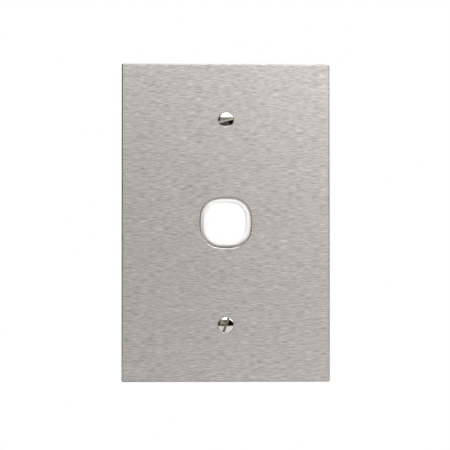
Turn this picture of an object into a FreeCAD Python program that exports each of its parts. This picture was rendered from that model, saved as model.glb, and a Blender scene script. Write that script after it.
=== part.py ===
import FreeCAD, Part
import math
import os

# Wall plate for one switch: steel cover, moulded grid behind it and two mounting screws.
# Millimetres. The wall plane is y = 0, the front faces -Y, +Z is up and x = 0 is the centre line.

# Cover plate
plate_width = 85.4
plate_height = 130.4
plate_thickness = 1.5
plate_corner_radius = 0.6
plate_edge_radius = 0.5

# Mounting screws
fixing_spacing = 84.0
screw_length = 40.0
thread_diameter = 3.5
shank_diameter = 3.1
thread_clear_of_pillar = 1.0
thread_lead = 0.2
thread_tip_chamfer = 0.5
head_diameter = 6.4
head_cone_angle = 90.0
head_raise = 0.8
head_rim_height = 0.15
head_clearance = 0.02
slot_width = 1.0
slot_depth = 1.1
upper_slot_angle = 15.0
lower_slot_angle = 70.0
countersink_mouth_margin = 0.2
plate_hole_clearance = 0.2
cut_overrun = 1.0

# Rocker opening: a square with bulging sides and large round corners
opening_width = 16.7
opening_side_radius = 26.0
opening_corner_radius = 6.2
collar_wall = 1.1
collar_gap = 0.95
collar_proud = 0.3
collar_outer_rounding = 0.2
collar_inner_rounding = 0.2
shoulder_recess = 0.9
shoulder_clearance = 0.12

# Grid panel: a body with an ear at each end for a screw
panel_thickness = 2.2
body_width = 52.0
body_height = 66.0
body_corner_radius = 4.0
ear_width = 24.0
ear_end_margin = 7.0
ear_corner_radius = 7.0
ear_root_radius = 4.0

# Grid stiffening
skirt_wall = 1.4
skirt_height = 3.2
skirt_chamfer = 0.3
rib_wall = 1.2
rib_height = 2.6

# Screw pillars
pillar_diameter = 8.0
pillar_height = 6.0
pillar_bore_clearance = 0.1
pillar_chamfer = 0.4

# Mechanism socket with a snap arm on each side
socket_width = 24.6
socket_height = 22.4
socket_wall = 1.5
socket_depth = 8.0
socket_corner_radius = 1.0
socket_chamfer = 0.3
snap_arm_width = 9.0
snap_slot_width = 1.2
snap_slot_floor = 0.8
snap_hook_reach = 0.9
snap_hook_land = 0.3
snap_hook_ledge = 0.4
snap_hook_ramp = 1.8

Vector = FreeCAD.Vector
rearward = Vector(0, 1, 0)
screw_heights = (fixing_spacing / 2, -fixing_spacing / 2)
slot_angles = (upper_slot_angle, lower_slot_angle)
panel_back = panel_thickness
skirt_top = panel_back + skirt_height
pillar_top = panel_back + pillar_height
socket_top = panel_back + socket_depth
plate_front = -plate_thickness
collar_front = plate_front - collar_proud
shoulder_front = plate_front + shoulder_recess
aperture_offset = collar_wall + collar_gap
ear_height = fixing_spacing + 2 * ear_end_margin
cone_slope = math.tan(math.radians(head_cone_angle / 2))
countersink_radius = head_diameter / 2 + countersink_mouth_margin


def at(x, y, z):
    return Vector(x, y, z)


def slab(wire, y_from, y_to):
    """Solid between two depths with the outline of a wire drawn at y = 0."""
    face = Part.Face(wire)
    face.translate(rearward * y_from)
    return face.extrude(rearward * (y_to - y_from))


def rounded_outline(corners):
    """Closed wire at y = 0 through (x, z, radius) corners, each rounded by a tangent arc."""
    arcs = []
    for i, (x, z, radius) in enumerate(corners):
        corner = at(x, 0, z)
        before = at(corners[i - 1][0], 0, corners[i - 1][1]) - corner
        after_x, after_z, _ = corners[(i + 1) % len(corners)]
        after = at(after_x, 0, after_z) - corner
        before.normalize()
        after.normalize()
        half_angle = before.getAngle(after) / 2
        run = radius / math.tan(half_angle)
        bisector = before + after
        bisector.normalize()
        centre = corner + bisector * (radius / math.sin(half_angle))
        arcs.append((corner + before * run, centre - bisector * radius, corner + after * run))
    edges = []
    for i, (start, middle, end) in enumerate(arcs):
        edges.append(Part.Arc(start, middle, end).toShape())
        next_start = arcs[(i + 1) % len(arcs)][0]
        if (next_start - end).Length > 1e-6:
            edges.append(Part.LineSegment(end, next_start).toShape())
    return Part.Wire(edges)


def rectangle_outline(width, height, radius):
    x = width / 2
    z = height / 2
    return rounded_outline([(x, -z, radius), (x, z, radius), (-x, z, radius), (-x, -z, radius)])


def opening_outline(offset):
    """The rocker opening's outline moved outwards: eight tangent arcs about fixed centres."""
    half = opening_width / 2
    side_setback = opening_side_radius - half
    spread = opening_side_radius - opening_corner_radius
    corner_centre = (math.sqrt(2 * spread**2 - side_setback**2) - side_setback) / 2
    side_angle = math.atan2(corner_centre, corner_centre + side_setback)
    side_radius = opening_side_radius + offset
    corner_radius = opening_corner_radius + offset
    edges = []
    for quarter in range(4):
        turn = quarter * math.pi / 2
        pieces = (
            (-side_setback, 0, side_radius, -side_angle, side_angle),
            (corner_centre, corner_centre, corner_radius, side_angle, math.pi / 2 - side_angle),
        )
        for centre_x, centre_z, radius, start, end in pieces:
            points = []
            for angle in (start, (start + end) / 2, end):
                x = centre_x + radius * math.cos(angle)
                z = centre_z + radius * math.sin(angle)
                turned_x = x * math.cos(turn) - z * math.sin(turn)
                turned_z = x * math.sin(turn) + z * math.cos(turn)
                points.append(at(turned_x, 0, turned_z))
            edges.append(Part.Arc(*points).toShape())
    return Part.Wire(edges)


def grid_outline(inset):
    """Outline of the grid panel, moved inwards: a body with an ear at the top and the bottom."""
    body_x = body_width / 2 - inset
    body_z = body_height / 2 - inset
    ear_x = ear_width / 2 - inset
    ear_z = ear_height / 2 - inset
    body_radius = body_corner_radius - inset
    ear_radius = ear_corner_radius - inset
    root_radius = ear_root_radius + inset
    right_side = [
        (ear_x, -ear_z, ear_radius),
        (ear_x, -body_z, root_radius),
        (body_x, -body_z, body_radius),
        (body_x, body_z, body_radius),
        (ear_x, body_z, root_radius),
        (ear_x, ear_z, ear_radius),
    ]
    left_side = [(-x, z, radius) for x, z, radius in reversed(right_side)]
    return rounded_outline(right_side + left_side)


def edges_at_depth(shape, y, inside_of):
    """Edges lying in the plane at a depth whose points all satisfy a test on x and z."""
    chosen = []
    for edge in shape.Edges:
        points = edge.discretize(3)
        if all(abs(point.y - y) < 1e-6 and inside_of(point) for point in points):
            chosen.append(edge)
    return chosen


def near_opening(offset):
    """Test for points close to the outline of the opening moved outwards by an offset."""
    outline = opening_outline(offset)

    def test(point):
        level = Part.Vertex(point.x, 0, point.z)
        return outline.distToShape(level)[0] < 1e-4

    return test


def chamfered_rim(shape, y, size):
    """Chamfer every edge that lies in the plane at a depth."""
    return shape.makeChamfer(size, edges_at_depth(shape, y, lambda point: True))


def screw_seat(z, bore_radius):
    """Cutter for one screw: the countersink's cone, run on to its point, and a straight bore."""
    cone_start = plate_front - cut_overrun
    cone_radius = countersink_radius + cut_overrun * cone_slope
    cone = Part.makeCone(cone_radius, 0, cone_radius / cone_slope, at(0, cone_start, z), rearward)
    bore_length = pillar_top + cut_overrun - cone_start
    bore = Part.makeCylinder(bore_radius, bore_length, at(0, cone_start, z), rearward)
    return cone.fuse(bore)


def build_cover_plate():
    blank = slab(rectangle_outline(plate_width, plate_height, plate_corner_radius), plate_front, 0)
    aperture = slab(opening_outline(aperture_offset), plate_front, 0)
    plate = blank.cut(aperture)
    on_aperture = near_opening(aperture_offset)

    def on_rim(point):
        at_side = abs(point.x) > plate_width / 2 - plate_corner_radius - 1e-4
        at_end = abs(point.z) > plate_height / 2 - plate_corner_radius - 1e-4
        return at_side or at_end

    front_edges = edges_at_depth(plate, plate_front, on_aperture) + edges_at_depth(plate, plate_front, on_rim)
    plate = plate.makeFillet(plate_edge_radius, front_edges)
    for z in screw_heights:
        plate = plate.cut(screw_seat(z, thread_diameter / 2 + plate_hole_clearance))
    return plate


def build_collar():
    """Thin-walled tube of the opening's outline, rounded over at the front."""
    tube = slab(opening_outline(collar_wall), collar_front, panel_back)
    tube = tube.cut(slab(opening_outline(0), collar_front, panel_back))
    outer_edges = edges_at_depth(tube, collar_front, near_opening(collar_wall))
    tube = tube.makeFillet(collar_outer_rounding, outer_edges)
    inner_edges = edges_at_depth(tube, collar_front, near_opening(0))
    return tube.makeFillet(collar_inner_rounding, inner_edges)


def build_shoulder():
    """Step round the collar that centres the cover plate by its aperture."""
    return slab(opening_outline(aperture_offset - shoulder_clearance), shoulder_front, panel_back)


def straight_rib(x_from, z_from, x_to, z_to):
    """Rib standing on the panel's back between two points."""
    along = at(x_to - x_from, 0, z_to - z_from)
    across = at(-along.z, 0, along.x)
    across.normalize()
    across = across * (rib_wall / 2)
    start = at(x_from, panel_back, z_from)
    foot = [start - across, start + along - across, start + along + across, start + across]
    return Part.Face(Part.makePolygon(foot + foot[:1])).extrude(rearward * rib_height)


def build_socket():
    """Walls that take a switch mechanism, with a hooked snap arm at the left and the right."""
    outer_x = socket_width / 2 + socket_wall
    outline = rectangle_outline(
        socket_width + 2 * socket_wall, socket_height + 2 * socket_wall, socket_corner_radius + socket_wall
    )
    inner = rectangle_outline(socket_width, socket_height, socket_corner_radius)
    socket = slab(outline, panel_back, socket_top).cut(slab(inner, panel_back, socket_top))
    socket = chamfered_rim(socket, socket_top, socket_chamfer)
    slot_middle = (snap_arm_width + snap_slot_width) / 2
    for z in (slot_middle, -slot_middle):
        slot_corner = at(-outer_x, panel_back + snap_slot_floor, z - snap_slot_width / 2)
        slot = Part.makeBox(2 * outer_x, socket_depth - snap_slot_floor, snap_slot_width, slot_corner)
        socket = socket.cut(slot)
    hook_top = socket_top - socket_chamfer
    land_top = hook_top - snap_hook_ramp
    land_bottom = land_top - snap_hook_land
    ledge = land_bottom - snap_hook_ledge
    inner_x = socket_width / 2
    tip_x = inner_x - snap_hook_reach
    arm_end = -snap_arm_width / 2
    for side in (1, -1):
        hook = [
            at(side * inner_x, ledge, arm_end),
            at(side * tip_x, land_bottom, arm_end),
            at(side * tip_x, land_top, arm_end),
            at(side * inner_x, hook_top, arm_end),
        ]
        hook_face = Part.Face(Part.makePolygon(hook + hook[:1]))
        socket = socket.fuse(hook_face.extrude(at(0, 0, snap_arm_width)))
    return socket


def build_ribs():
    """Ribs from the socket to the pillars and the body's corners, and across the body and the ears."""
    ribs = []
    socket_z = socket_height / 2 + socket_wall / 2
    socket_x = socket_width / 2 + socket_wall / 2
    body_x = body_width / 2 - skirt_wall / 2
    body_z = body_height / 2 - skirt_wall / 2
    ear_x = ear_width / 2 - skirt_wall / 2
    ear_z = ear_height / 2 - skirt_wall / 2
    pillar_z = fixing_spacing / 2
    root_x = ear_width / 2 + ear_root_radius
    corner_inset = body_corner_radius - (body_corner_radius - skirt_wall / 2) * math.sqrt(0.5)
    corner_x = body_width / 2 - corner_inset
    corner_z = body_height / 2 - corner_inset
    for up in (1, -1):
        ribs.append(straight_rib(0, up * socket_z, 0, up * ear_z))
        ribs.append(straight_rib(-body_x, up * socket_z, body_x, up * socket_z))
        ribs.append(straight_rib(-root_x, up * body_z, root_x, up * body_z))
        ribs.append(straight_rib(-ear_x, up * pillar_z, ear_x, up * pillar_z))
        for side in (1, -1):
            ribs.append(straight_rib(side * socket_x, up * socket_z, side * corner_x, up * corner_z))
    return ribs


def build_mechanism_grid():
    panel = slab(grid_outline(0), 0, panel_back)
    skirt = slab(grid_outline(0), panel_back, skirt_top)
    skirt = skirt.cut(slab(grid_outline(skirt_wall), panel_back, skirt_top))
    skirt = chamfered_rim(skirt, skirt_top, skirt_chamfer)
    pieces = [build_shoulder(), skirt, build_socket()] + build_ribs()
    for z in screw_heights:
        pillar = Part.makeCylinder(pillar_diameter / 2, pillar_height, at(0, panel_back, z), rearward)
        pieces.append(chamfered_rim(pillar, pillar_top, pillar_chamfer))
    grid = panel.multiFuse(pieces)
    grid = grid.cut(slab(opening_outline(0), shoulder_front, panel_back))
    grid = grid.fuse(build_collar())
    for z in screw_heights:
        grid = grid.cut(screw_seat(z, shank_diameter / 2 + pillar_bore_clearance))
    return grid.removeSplitter()


def build_screw(z, slot_angle):
    """Slotted raised countersunk screw whose plain shank runs into a full-diameter thread."""
    rim_radius = head_diameter / 2
    shank_radius = shank_diameter / 2
    thread_radius = thread_diameter / 2
    seat_shift = head_clearance / math.sin(math.radians(head_cone_angle / 2))
    rim_y = plate_front + countersink_mouth_margin / cone_slope - seat_shift
    rim_front = rim_y - head_rim_height
    crown_y = rim_front - head_raise
    cone_end = rim_y + (rim_radius - shank_radius) / cone_slope
    thread_start = pillar_top + thread_clear_of_pillar
    tip_y = rim_y + screw_length
    dome_radius = (rim_radius**2 + head_raise**2) / (2 * head_raise)
    dome_mid = rim_radius / 2
    dome_mid_y = crown_y + dome_radius - math.sqrt(dome_radius**2 - dome_mid**2)
    points = [
        at(rim_radius, rim_front, z),
        at(rim_radius, rim_y, z),
        at(shank_radius, cone_end, z),
        at(shank_radius, thread_start, z),
        at(thread_radius, thread_start + thread_lead, z),
        at(thread_radius, tip_y - thread_tip_chamfer, z),
        at(thread_radius - thread_tip_chamfer, tip_y, z),
        at(0, tip_y, z),
        at(0, crown_y, z),
    ]
    edges = [Part.LineSegment(a, b).toShape() for a, b in zip(points, points[1:])]
    dome = Part.Arc(points[-1], at(dome_mid, dome_mid_y, z), points[0])
    edges.append(dome.toShape())
    screw = Part.Face(Part.Wire(edges)).revolve(at(0, 0, z), rearward, 360)
    slot_corner = at(-head_diameter, crown_y - cut_overrun, z - slot_width / 2)
    slot = Part.makeBox(2 * head_diameter, slot_depth + cut_overrun, slot_width, slot_corner)
    slot.rotate(at(0, 0, z), rearward, -slot_angle)
    return screw.cut(slot)


def build_mounting_screws():
    screws = [build_screw(z, angle) for z, angle in zip(screw_heights, slot_angles)]
    return Part.makeCompound(screws)


nodes = {
    "cover_plate": build_cover_plate(),
    "mechanism_grid": build_mechanism_grid(),
    "mounting_screws": build_mounting_screws(),
}

os.makedirs("parts", exist_ok=True)
for name, shape in nodes.items():
    shape.exportStep(f"parts/{name}.step")
    box = shape.optimalBoundingBox()
    size = f"{box.XLength:.2f} x {box.YLength:.2f} x {box.ZLength:.2f} mm"
    print(f"{name}: {len(shape.Solids)} solid(s), {size}, valid {shape.isValid()}")
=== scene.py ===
import math
import bmesh
import bpy
from mathutils import Matrix, Vector


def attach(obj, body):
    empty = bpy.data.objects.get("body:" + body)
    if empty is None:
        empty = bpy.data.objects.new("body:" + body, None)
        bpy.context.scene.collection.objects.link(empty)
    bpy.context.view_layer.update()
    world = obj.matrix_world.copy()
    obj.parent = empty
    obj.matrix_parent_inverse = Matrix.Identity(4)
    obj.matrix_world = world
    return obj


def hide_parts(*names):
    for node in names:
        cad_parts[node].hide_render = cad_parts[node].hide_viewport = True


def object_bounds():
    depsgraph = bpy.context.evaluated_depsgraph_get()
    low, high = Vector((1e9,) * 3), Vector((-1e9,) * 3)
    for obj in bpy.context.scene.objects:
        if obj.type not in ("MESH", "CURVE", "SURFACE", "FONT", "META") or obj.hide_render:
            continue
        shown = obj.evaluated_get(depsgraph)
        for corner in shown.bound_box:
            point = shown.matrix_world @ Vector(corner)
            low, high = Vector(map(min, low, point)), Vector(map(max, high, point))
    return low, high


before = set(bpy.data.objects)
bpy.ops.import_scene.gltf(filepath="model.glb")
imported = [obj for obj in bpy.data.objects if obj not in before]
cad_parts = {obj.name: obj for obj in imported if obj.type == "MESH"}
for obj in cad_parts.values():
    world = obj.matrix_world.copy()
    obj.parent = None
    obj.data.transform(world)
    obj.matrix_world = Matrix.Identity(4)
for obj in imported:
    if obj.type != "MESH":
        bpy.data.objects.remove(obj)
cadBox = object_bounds()
mm = 0.001  # every size below is in millimetres
print("frame loaded:", ", ".join(sorted(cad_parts)))


def fillInputs(tree, node, inputs):  # a socket is linked, anything else is set as the value
    for name, value in inputs.items():
        if isinstance(value, bpy.types.NodeSocket):
            tree.links.new(value, node.inputs[name])
        else:
            node.inputs[name].default_value = value


def addNode(tree, kind, inputs=None, **options):
    node = tree.nodes.new("ShaderNode" + kind)
    for name, value in options.items():
        setattr(node, name, value)
    fillInputs(tree, node, inputs or {})
    return node


def addGroup(tree, group, inputs):
    return addNode(tree, "Group", inputs, node_tree=group).outputs[0]


def addMaths(tree, operation, *values):
    return addNode(tree, "Math", dict(enumerate(values)), operation=operation).outputs[0]


def addVectorMaths(tree, operation, result, *values):
    return addNode(tree, "VectorMath", dict(enumerate(values)), operation=operation).outputs[result]


mixSockets = {"RGBA": (6, 7, 2), "FLOAT": (2, 3, 0)}  # the Mix node's two inputs and its output


def addMix(tree, kind, share, first, second):
    firstInput, secondInput, result = mixSockets[kind]
    inputs = {0: share, firstInput: first, secondInput: second}
    return addNode(tree, "Mix", inputs, data_type=kind).outputs[result]


def addRamp(tree, value, start, end, **options):  # 0 at the start, 1 at the end
    inputs = {"Value": value, "From Min": start, "From Max": end}
    return addNode(tree, "MapRange", inputs, **options).outputs["Result"]


def addBump(tree, height, strength, depth):
    inputs = {"Height": height, "Strength": strength, "Distance": depth * mm}
    return addNode(tree, "Bump", inputs).outputs["Normal"]


noiseLow, noiseHigh = 0.3, 0.7  # nearly all noise values lie between these


def spread(tree, value, low=0.0, high=1.0):  # noise laid over a wanted range
    inputs = {"Value": value, "From Min": noiseLow, "From Max": noiseHigh, "To Min": low, "To Max": high}
    return addNode(tree, "MapRange", inputs).outputs["Result"]


def newGroup(name, inputs, outputs):
    tree = bpy.data.node_groups.new(name, "ShaderNodeTree")
    for label, kind in inputs.items():
        tree.interface.new_socket(label, in_out="INPUT", socket_type=kind)
    for label, kind in outputs.items():
        tree.interface.new_socket(label, in_out="OUTPUT", socket_type=kind)
    return tree, tree.nodes.new("NodeGroupInput").outputs, tree.nodes.new("NodeGroupOutput").inputs


def newFinish(name):
    material = bpy.data.materials.new(name)
    material.use_nodes = True
    tree = material.node_tree
    return material, tree, tree.nodes["Principled BSDF"]


def readPlace(tree):
    return addNode(tree, "TexCoord").outputs["Object"]


# noise drawn out along X, as a brushing belt leaves it; length and width of a stroke in millimetres
strokeNoise = {"Scale": 1.0, "Detail": 1.5, "Roughness": 0.5}


def makeBrushStrokes(noise):
    inputs = {"Place": "NodeSocketVector"}
    for label in ("Length", "Width", "Seed"):
        inputs[label] = "NodeSocketFloat"
    tree, given, out = newGroup("brushStrokes", inputs, {"Stroke": "NodeSocketFloat"})
    axes = addNode(tree, "SeparateXYZ", {"Vector": given["Place"]}).outputs
    lengthM = addMaths(tree, "MULTIPLY", given["Length"], mm)
    widthM = addMaths(tree, "MULTIPLY", given["Width"], mm)
    along = addMaths(tree, "DIVIDE", axes["X"], lengthM)
    deep = addMaths(tree, "DIVIDE", axes["Y"], widthM)
    across = addMaths(tree, "DIVIDE", axes["Z"], widthM)
    drawn = addNode(tree, "CombineXYZ", {"X": along, "Y": deep, "Z": across}).outputs["Vector"]
    noiseInputs = {"Vector": drawn, "W": given["Seed"], **noise}
    stroke = addNode(tree, "TexNoise", noiseInputs, noise_dimensions="4D")
    tree.links.new(stroke.outputs["Fac"], out["Stroke"])
    return tree


# soft uneven patches: polish, handling and moulding differences, and at a small size a fine grain
patchNoise = {"Detail": 2.0, "Roughness": 0.55}


def makeSoftPatches(noise):
    inputs = {"Place": "NodeSocketVector", "Size": "NodeSocketFloat"}
    tree, given, out = newGroup("softPatches", inputs, {"Patch": "NodeSocketFloat"})
    scale = addMaths(tree, "DIVIDE", 1 / mm, given["Size"])
    patch = addNode(tree, "TexNoise", {"Vector": given["Place"], "Scale": scale, **noise})
    tree.links.new(patch.outputs["Fac"], out["Patch"])
    return tree


brushStrokes = makeBrushStrokes(strokeNoise)
softPatches = makeSoftPatches(patchNoise)


brushedSteelLook = {
    "darkStroke": (0.222, 0.215, 0.209, 1.0),
    "lightStroke": (0.790, 0.763, 0.742, 1.0),
    "dash": {"Length": 3.2, "Width": 0.17, "Seed": 1.0},
    "band": {"Length": 30.0, "Width": 0.3, "Seed": 4.0},
    "hair": {"Length": 1.6, "Width": 0.1, "Seed": 9.0},
    "shares": {"dash": 0.62, "band": 0.13, "hair": 0.25},
    "roughness": (0.42, 0.54),
    "anisotropy": 0.8,
    "grainTurn": 0.25,
    "bumpStrength": 0.5,
    "bumpDepth": 0.012,
    "millDull": (0.40, 0.396, 0.388, 1.0),  # the back keeps the sheet's mill finish
    "millBright": (0.47, 0.465, 0.456, 1.0),
    "millPatch": 14.0,
    "millRoughness": (0.38, 0.43),
    "millDepth": (-0.08, -0.02),
    "lipReach": (13.0, 13.6),  # from the middle of the plate
    "sideReach": (0.5, 0.6),  # in from the plate's sides
    "rollLean": (0.004, 0.03),  # one less the cosine of the lean
    "rollRoughness": 0.24,
}


# the opening's lip and the two long sides are burnished where they roll away from the flat front
def findRolledEdges(tree, place, look):
    flat = addVectorMaths(tree, "MULTIPLY", "Vector", place, (1.0, 0.0, 1.0))
    fromMiddle = addVectorMaths(tree, "LENGTH", "Value", flat)
    inner, outer = (reach * mm for reach in look["lipReach"])
    onLip = addRamp(tree, fromMiddle, outer, inner)
    fromCentreLine = addMaths(tree, "ABSOLUTE", addNode(tree, "SeparateXYZ", {"Vector": place}).outputs["X"])
    full, faded = (cadBox[1][0] - reach * mm for reach in look["sideReach"])
    onSide = addRamp(tree, fromCentreLine, faded, full)
    near = addMaths(tree, "MAXIMUM", onLip, onSide)
    facing = addNode(tree, "NewGeometry").outputs["Normal"]
    forward = addVectorMaths(tree, "DOT_PRODUCT", "Value", facing, (0.0, -1.0, 0.0))
    lean = addMaths(tree, "SUBTRACT", 1.0, forward)
    return addMaths(tree, "MULTIPLY", near, addRamp(tree, lean, *look["rollLean"]))


def makeBrushedSteel(look):
    material, tree, shader = newFinish("brushedSteel")
    place = readPlace(tree)
    strokes = {}
    total = 0.0
    for layer, share in look["shares"].items():
        strokes[layer] = addGroup(tree, brushStrokes, {"Place": place, **look[layer]})
        total = addMaths(tree, "MULTIPLY_ADD", strokes[layer], share, total)
    patch = addGroup(tree, softPatches, {"Place": place, "Size": look["millPatch"]})
    depth = addNode(tree, "SeparateXYZ", {"Vector": place}).outputs["Y"]
    front, back = (reach * mm for reach in look["millDepth"])
    atBack = addRamp(tree, depth, front, back)
    brushed = addMix(tree, "RGBA", spread(tree, total), look["darkStroke"], look["lightStroke"])
    milled = addMix(tree, "RGBA", spread(tree, patch), look["millDull"], look["millBright"])
    brushedGloss = spread(tree, total, *look["roughness"])
    milledGloss = spread(tree, patch, *look["millRoughness"])
    gloss = addMix(tree, "FLOAT", atBack, brushedGloss, milledGloss)
    rolled = findRolledEdges(tree, place, look)
    ridge = addMaths(tree, "MULTIPLY", strokes["hair"], addMaths(tree, "SUBTRACT", 1.0, atBack))
    finish = {
        "Base Color": addMix(tree, "RGBA", atBack, brushed, milled),
        "Roughness": addMix(tree, "FLOAT", rolled, gloss, look["rollRoughness"]),
        "Normal": addBump(tree, ridge, look["bumpStrength"], look["bumpDepth"]),
        "Metallic": 1.0,
        "Anisotropic": look["anisotropy"],
        "Anisotropic Rotation": look["grainTurn"],
    }
    fillInputs(tree, shader, finish)
    return material


whitePlasticLook = {
    "dull": (0.925, 0.925, 0.917, 1.0),
    "bright": (0.955, 0.955, 0.948, 1.0),
    "patchSize": 14.0,
    "roughness": (0.34, 0.44),
    "grainSize": 0.22,  # spark texture of the mould
    "grainStrength": 0.4,
    "grainDepth": 0.006,
    "metallic": 0.0,
}
brightPlatingLook = {
    "dull": (0.70, 0.675, 0.64, 1.0),
    "bright": (0.82, 0.80, 0.77, 1.0),
    "patchSize": 1.6,
    "roughness": (0.07, 0.14),
    "grainSize": 0.12,  # pits in the plating
    "grainStrength": 0.3,
    "grainDepth": 0.002,
    "metallic": 1.0,
}


# moulded plastic and plating: colour and gloss vary softly over a fine grain
def makeSmoothFinish(name, look):
    material, tree, shader = newFinish(name)
    place = readPlace(tree)
    patch = addGroup(tree, softPatches, {"Place": place, "Size": look["patchSize"]})
    grain = addGroup(tree, softPatches, {"Place": place, "Size": look["grainSize"]})
    finish = {
        "Base Color": addMix(tree, "RGBA", spread(tree, patch), look["dull"], look["bright"]),
        "Roughness": spread(tree, patch, *look["roughness"]),
        "Normal": addBump(tree, grain, look["grainStrength"], look["grainDepth"]),
        "Metallic": look["metallic"],
    }
    fillInputs(tree, shader, finish)
    return material


brushedSteel = makeBrushedSteel(brushedSteelLook)
whitePlastic = makeSmoothFinish("whitePlastic", whitePlasticLook)
brightPlating = makeSmoothFinish("brightPlating", brightPlatingLook)

for nodeName, finish in (("cover_plate", brushedSteel), ("mechanism_grid", whitePlastic)):
    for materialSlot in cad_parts[nodeName].material_slots:
        materialSlot.material = finish
print("finishes made: brushed steel, white plastic, bright plating")


# slotted raised countersunk screw, axis along Y, head towards -Y
screwMake = {
    "crownDepth": -2.278,
    "headDiameter": 6.4,
    "headRaise": 0.8,
    "rimHeight": 0.15,
    "rimRound": 0.13,
    "rimSteps": 4,
    "shankDiameter": 3.1,
    "threadStart": 9.2,
    "threadSink": 0.1,  # the thread begins just inside the plain shank
    "tipDepth": 38.67,
    "tipChamfer": 0.5,
    "tipLeast": 0.1,
    "threadDiameter": 3.5,
    "threadPitch": 0.6,
    "threadDepth": 0.37,
    "flankAngle": 30.0,
    "crestFlat": 0.08,
    "runOutSlope": 0.5,
    "slotWidth": 1.0,
    "slotDepth": 1.1,
    "slotEdgeBreak": 0.05,
    "slotEdgeSteps": 2,
    "domeSteps": 10,
    "turnSteps": 64,
    "threadSteps": 28,
    "smoothAngle": 18.0,
}
screwPlaces = {
    "upperScrew": {"height": 42.0, "slotTurn": 15.0},
    "lowerScrew": {"height": -42.0, "slotTurn": 70.0},
}
tolerance = {"seam": 1e-5, "weld": 1e-3, "level": 1e-4, "cut": 1e-6}  # how near counts as the same
axisY, axisZ = 1, 2
fullTurn = 2 * math.pi


def edgesAt(edges, axis, level):
    found = []
    for edge in edges:
        if all(abs(vert.co[axis] - level) < tolerance["level"] for vert in edge.verts):
            found.append(edge)
    return found


def cutAcross(bm, place, normal, **cleared):
    everything = bm.verts[:] + bm.edges[:] + bm.faces[:]
    bmesh.ops.bisect_plane(
        bm, geom=everything, dist=tolerance["cut"], plane_co=place, plane_no=normal, **cleared
    )


def turnHead(make):
    bm = bmesh.new()
    rim = make["headDiameter"] / 2
    shank = make["shankDiameter"] / 2
    domeRadius = (rim**2 + make["headRaise"] ** 2) / (2 * make["headRaise"])
    rimFront = make["crownDepth"] + make["headRaise"]
    rimBack = rimFront + make["rimHeight"]
    crown = bm.verts.new((0, make["crownDepth"], 0))
    bmesh.ops.spin(  # the dome's profile is the crown swung round the dome's centre
        bm,
        geom=[crown],
        cent=(0, make["crownDepth"] + domeRadius, 0),
        axis=(0, 0, 1),
        angle=math.asin(rim / domeRadius),
        steps=make["domeSteps"],
    )
    last = max(bm.verts, key=lambda vert: abs(vert.co.x))
    side = math.copysign(1, last.co.x)
    coneBack = rimBack + rim - shank
    profile = [(rim, rimBack), (shank, coneBack), (shank, make["threadStart"]), (0, make["threadStart"])]
    for radius, depth in profile:
        corner = bm.verts.new((side * radius, depth, 0))
        bm.edges.new((last, corner))
        last = corner
    bmesh.ops.spin(
        bm,
        geom=bm.verts[:] + bm.edges[:],
        cent=(0, 0, 0),
        axis=(0, 1, 0),
        angle=fullTurn,
        steps=make["turnSteps"],
        use_merge=True,
    )
    bmesh.ops.remove_doubles(bm, verts=bm.verts, dist=tolerance["seam"])
    bmesh.ops.recalc_face_normals(bm, faces=bm.faces)
    bmesh.ops.bevel(
        bm,
        geom=edgesAt(bm.edges, axisY, rimFront),
        offset=make["rimRound"],
        affect="EDGES",
        segments=make["rimSteps"],
        profile=0.5,
        material=-1,
    )
    return bm


def cutSlot(bm, make):
    half = make["slotWidth"] / 2
    floor = make["crownDepth"] + make["slotDepth"]
    cutAcross(bm, (0, 0, half), (0, 0, 1))
    cutAcross(bm, (0, 0, -half), (0, 0, 1))
    cutAcross(bm, (0, floor, 0), (0, 1, 0))
    inSlot = []
    for face in bm.faces:
        middle = face.calc_center_median()
        if abs(middle.z) < half and middle.y < floor:
            inSlot.append(face)
    bmesh.ops.delete(bm, geom=inSlot, context="FACES")
    openEdges = [edge for edge in bm.edges if edge.is_boundary]
    walls = []
    floorEdges = edgesAt(openEdges, axisY, floor)
    for z in (half, -half):
        mouth = edgesAt(openEdges, axisZ, z)
        ends = sorted({vert for edge in mouth for vert in edge.verts}, key=lambda vert: -vert.co.y)[:2]
        base = bm.edges.new(ends)
        floorEdges.append(base)
        walls += bmesh.ops.contextual_create(bm, geom=mouth + [base])["faces"]
    bmesh.ops.contextual_create(bm, geom=floorEdges)
    bmesh.ops.recalc_face_normals(bm, faces=bm.faces)
    bmesh.ops.bevel(
        bm,
        geom=[edge for wall in walls for edge in wall.edges if edge not in floorEdges],
        offset=make["slotEdgeBreak"],
        affect="EDGES",
        segments=make["slotEdgeSteps"],
        profile=0.5,
        material=-1,
        clamp_overlap=True,
    )
    bmesh.ops.remove_doubles(bm, verts=bm.verts, dist=tolerance["weld"])  # slivers along the dome's rings


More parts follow.
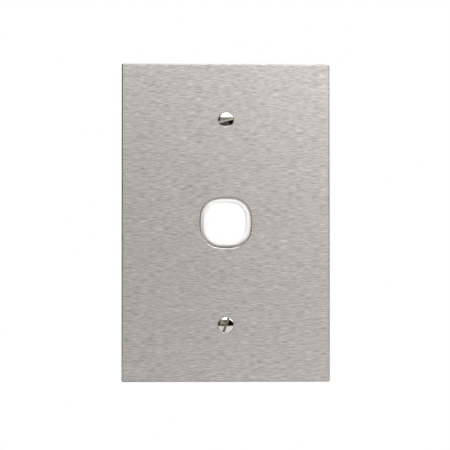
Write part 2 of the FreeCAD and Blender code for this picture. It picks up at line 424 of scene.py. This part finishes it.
def rollThread(make):
    bm = bmesh.new()
    pitch = make["threadPitch"]
    crest = make["threadDiameter"] / 2
    root = crest - make["threadDepth"]
    flank = make["threadDepth"] * math.tan(math.radians(make["flankAngle"]))
    first = make["threadStart"] - 2 * pitch  # two turns early, cut off below
    crestStart = pitch - flank - make["crestFlat"]
    stations = [
        (root, 0),
        (root, crestStart - flank),
        (crest, crestStart),
        (crest, crestStart + make["crestFlat"]),
        (root, pitch),
    ]
    verts = [bm.verts.new((radius, first + along, 0)) for radius, along in stations]
    edges = [bm.edges.new(pair) for pair in zip(verts, verts[1:])]
    turns = math.ceil((make["tipDepth"] - first) / pitch) + 1
    bmesh.ops.spin(
        bm,
        geom=verts + edges,
        cent=(0, 0, 0),
        axis=(0, 1, 0),
        dvec=(0, pitch / make["threadSteps"], 0),
        angle=fullTurn * turns,
        steps=make["threadSteps"] * turns,
    )
    bmesh.ops.remove_doubles(bm, verts=bm.verts, dist=tolerance["weld"])
    cutAcross(bm, (0, make["threadStart"] - make["threadSink"], 0), (0, 1, 0), clear_inner=True)
    cutAcross(bm, (0, make["tipDepth"], 0), (0, 1, 0), clear_outer=True)
    bmesh.ops.holes_fill(bm, edges=[edge for edge in bm.edges if edge.is_boundary], sides=0)
    bmesh.ops.recalc_face_normals(bm, faces=bm.faces)
    for vert in bm.verts:  # run-out at the shank and chamfer at the tip
        radius = math.hypot(vert.co.x, vert.co.z)
        runOut = make["shankDiameter"] / 2 + make["runOutSlope"] * (vert.co.y - make["threadStart"])
        chamfer = make["tipDepth"] - make["tipChamfer"] - vert.co.y + crest
        limit = max(min(runOut, chamfer, crest), make["tipLeast"])
        if radius > limit:
            vert.co.x *= limit / radius
            vert.co.z *= limit / radius
    return bm


def addObject(name, bm, finish):
    bmesh.ops.scale(bm, vec=(mm, mm, mm), verts=bm.verts)
    mesh = bpy.data.meshes.new(name)
    bm.to_mesh(mesh)
    bm.free()
    mesh.materials.append(finish)
    added = bpy.data.objects.new(name, mesh)
    bpy.context.scene.collection.objects.link(added)
    return added


def makeScrew(name, make, place):
    bm = turnHead(make)
    cutSlot(bm, make)
    thread = rollThread(make)
    threadMesh = bpy.data.meshes.new("thread")
    thread.to_mesh(threadMesh)
    thread.free()
    bm.from_mesh(threadMesh)
    bpy.data.meshes.remove(threadMesh)
    turn = Matrix.Rotation(math.radians(-place["slotTurn"]), 4, "Y")
    bmesh.ops.transform(bm, matrix=Matrix.Translation((0, 0, place["height"])) @ turn, verts=bm.verts)
    for face in bm.faces:
        face.smooth = True
    for edge in bm.edges:
        edge.smooth = edge.calc_face_angle(0) < math.radians(make["smoothAngle"])
    screw = addObject(name, bm, brightPlating)
    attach(screw, "root")
    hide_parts("mounting_screws")
    print("screw made:", name, len(screw.data.polygons), "faces")


for screwName, screwPlace in screwPlaces.items():
    makeScrew(screwName, screwMake, screwPlace)


# studio: a pale table that the plate stands on, softboxes above it, beside it and behind it,
# a white sweep behind and a dim room in front
floorMake = {
    "height": -65.3,
    "from": (-500.0, -150.0),
    "to": (500.0, 300.0),
    "cornerRound": 20.0,
    "cornerSteps": 8,
    "tone": (0.76, 0.755, 0.745, 1.0),
    "roughness": 0.9,
}
studioLights = {
    "leftSoftbox": {
        "place": (-129.0, -210.0, 303.0),
        "aim": (-45.0, -74.0, 183.0),
        "size": (107.0, 240.0),
        "radiance": 1.5,
    },
    "middleSoftbox": {
        "place": (0.0, -222.0, 327.0),
        "aim": (0.0, -62.0, 207.0),
        "size": (242.0, 300.0),
        "radiance": 3.6,
    },
    "rightSoftbox": {
        "place": (141.0, -197.0, 303.0),
        "aim": (48.0, -67.0, 183.0),
        "size": (151.0, 240.0),
        "radiance": 5.8,
    },
    "sideSoftbox": {
        "place": (330.0, -130.0, 230.0),
        "aim": (0.0, 0.0, 0.0),
        "size": (230.0, 230.0),
        "radiance": 4.6,
    },
    "rearSoftbox": {
        "place": (-160.0, 420.0, 330.0),
        "aim": (0.0, 0.0, 0.0),
        "size": (300.0, 300.0),
        "radiance": 2.2,
    },
}
surroundings = {
    "seen": (1.0, 1.0, 1.0, 1.0),  # what the camera itself sees, white as in a light tent
    "dimRoom": (0.084, 0.072, 0.06, 1.0),
    "parts": [  # direction, angle of the full tone, angle where it has faded, tone
        {"towards": (-0.44, -0.83, 0.36), "full": 9.0, "faded": 26.0, "tone": (0.36, 0.32, 0.275, 1.0)},
        {"towards": (0.05, -1.0, 0.15), "full": 5.0, "faded": 12.0, "tone": (0.55, 0.50, 0.43, 1.0)},
        {"towards": (0.694, -0.719, 0.035), "full": 25.0, "faded": 30.0, "tone": (0.004, 0.004, 0.004, 1.0)},
        {"towards": (0.0, 1.0, 0.0), "full": 30.0, "faded": 55.0, "tone": (1.35, 1.35, 1.35, 1.0)},
        {"towards": (-1.0, 0.2, 0.1), "full": 54.0, "faded": 66.0, "tone": (0.012, 0.011, 0.010, 1.0)},
        {"towards": (1.0, 0.3, 0.1), "full": 28.0, "faded": 42.0, "tone": (0.25, 0.246, 0.24, 1.0)},
    ],
}


def showToCamera(tree, seen, lighting, output):  # the camera sees one shader, bounced light meets the other
    ray = addNode(tree, "LightPath").outputs["Is Camera Ray"]
    both = addNode(tree, "MixShader", {0: ray, 1: lighting.outputs[0], 2: seen.outputs[0]})
    tree.links.new(both.outputs[0], tree.nodes[output].inputs["Surface"])


def layFloor(make, seenTone):
    bm = bmesh.new()
    bmesh.ops.create_grid(bm, x_segments=1, y_segments=1, size=0.5)  # a square with sides of 1
    (x0, y0), (x1, y1) = make["from"], make["to"]
    bmesh.ops.scale(bm, vec=(x1 - x0, y1 - y0, 1), verts=bm.verts)
    bmesh.ops.translate(bm, vec=((x0 + x1) / 2, (y0 + y1) / 2, make["height"]), verts=bm.verts)
    bmesh.ops.bevel(
        bm,
        geom=bm.verts[:],
        offset=make["cornerRound"],
        affect="VERTICES",
        segments=make["cornerSteps"],
        profile=0.5,
        material=-1,
    )
    paper, tree, shader = newFinish("palePaper")
    fillInputs(tree, shader, {"Base Color": make["tone"], "Roughness": make["roughness"]})
    glow = addNode(tree, "Emission", {"Color": seenTone})  # blows out to the white behind it
    showToCamera(tree, glow, shader, "Material Output")
    addObject("paleFloor", bm, paper)


def placeAt(thing, place, aim):
    thing.location = Vector(place) * mm
    thing.rotation_euler = (Vector(aim) - Vector(place)).to_track_quat("-Z", "Y").to_euler()
    bpy.context.scene.collection.objects.link(thing)


def hangLight(name, make):
    data = bpy.data.lights.new(name, "AREA")
    data.shape = "RECTANGLE"
    data.size = make["size"][0] * mm
    data.size_y = make["size"][1] * mm
    data.energy = make["radiance"] * math.pi * data.size * data.size_y
    light = bpy.data.objects.new(name, data)
    light.visible_camera = False
    placeAt(light, make["place"], make["aim"])


def paintSurroundings(make):
    world = bpy.data.worlds.new("studio")
    world.use_nodes = True
    tree = world.node_tree
    seen = tree.nodes["Background"]
    seen.inputs["Color"].default_value = make["seen"]
    direction = addNode(tree, "TexCoord").outputs["Generated"]
    tone = make["dimRoom"]
    for part in make["parts"]:
        towards = Vector(part["towards"]).normalized()
        facing = addVectorMaths(tree, "DOT_PRODUCT", "Value", direction, towards)
        faded, full = (math.cos(math.radians(part[angle])) for angle in ("faded", "full"))
        share = addRamp(tree, facing, faded, full, interpolation_type="SMOOTHSTEP")
        tone = addMix(tree, "RGBA", share, tone, part["tone"])
    showToCamera(tree, seen, addNode(tree, "Background", {"Color": tone}), "World Output")
    bpy.context.scene.world = world


layFloor(floorMake, surroundings["seen"])
for lightName, lightMake in studioLights.items():
    hangLight(lightName, lightMake)
paintSurroundings(surroundings)
bpy.context.scene.view_settings.view_transform = "Standard"
print("studio set:", ", ".join(studioLights))


# long lens, a little left of the plate and a little below it
cameraMake = {
    "aim": (-0.36, -1.5, -0.97),
    "distance": 800.0,
    "leftTurn": 2.2,
    "below": 1.2,
    "frameWidth": 184.5,
    "sensorWidth": 36.0,
    "clip": (50.0, 20000.0),
}


def placeCamera(make):
    data = bpy.data.cameras.new("camera")
    data.sensor_width = make["sensorWidth"]
    data.lens = make["sensorWidth"] * make["distance"] / make["frameWidth"]
    data.clip_start, data.clip_end = (depth * mm for depth in make["clip"])
    camera = bpy.data.objects.new("camera", data)
    turn = math.radians(make["leftTurn"])
    drop = math.radians(make["below"])
    back = Vector((-math.sin(turn) * math.cos(drop), -math.cos(turn) * math.cos(drop), -math.sin(drop)))
    placeAt(camera, Vector(make["aim"]) + back * make["distance"], make["aim"])
    bpy.context.scene.camera = camera


placeCamera(cameraMake)
print("camera placed")
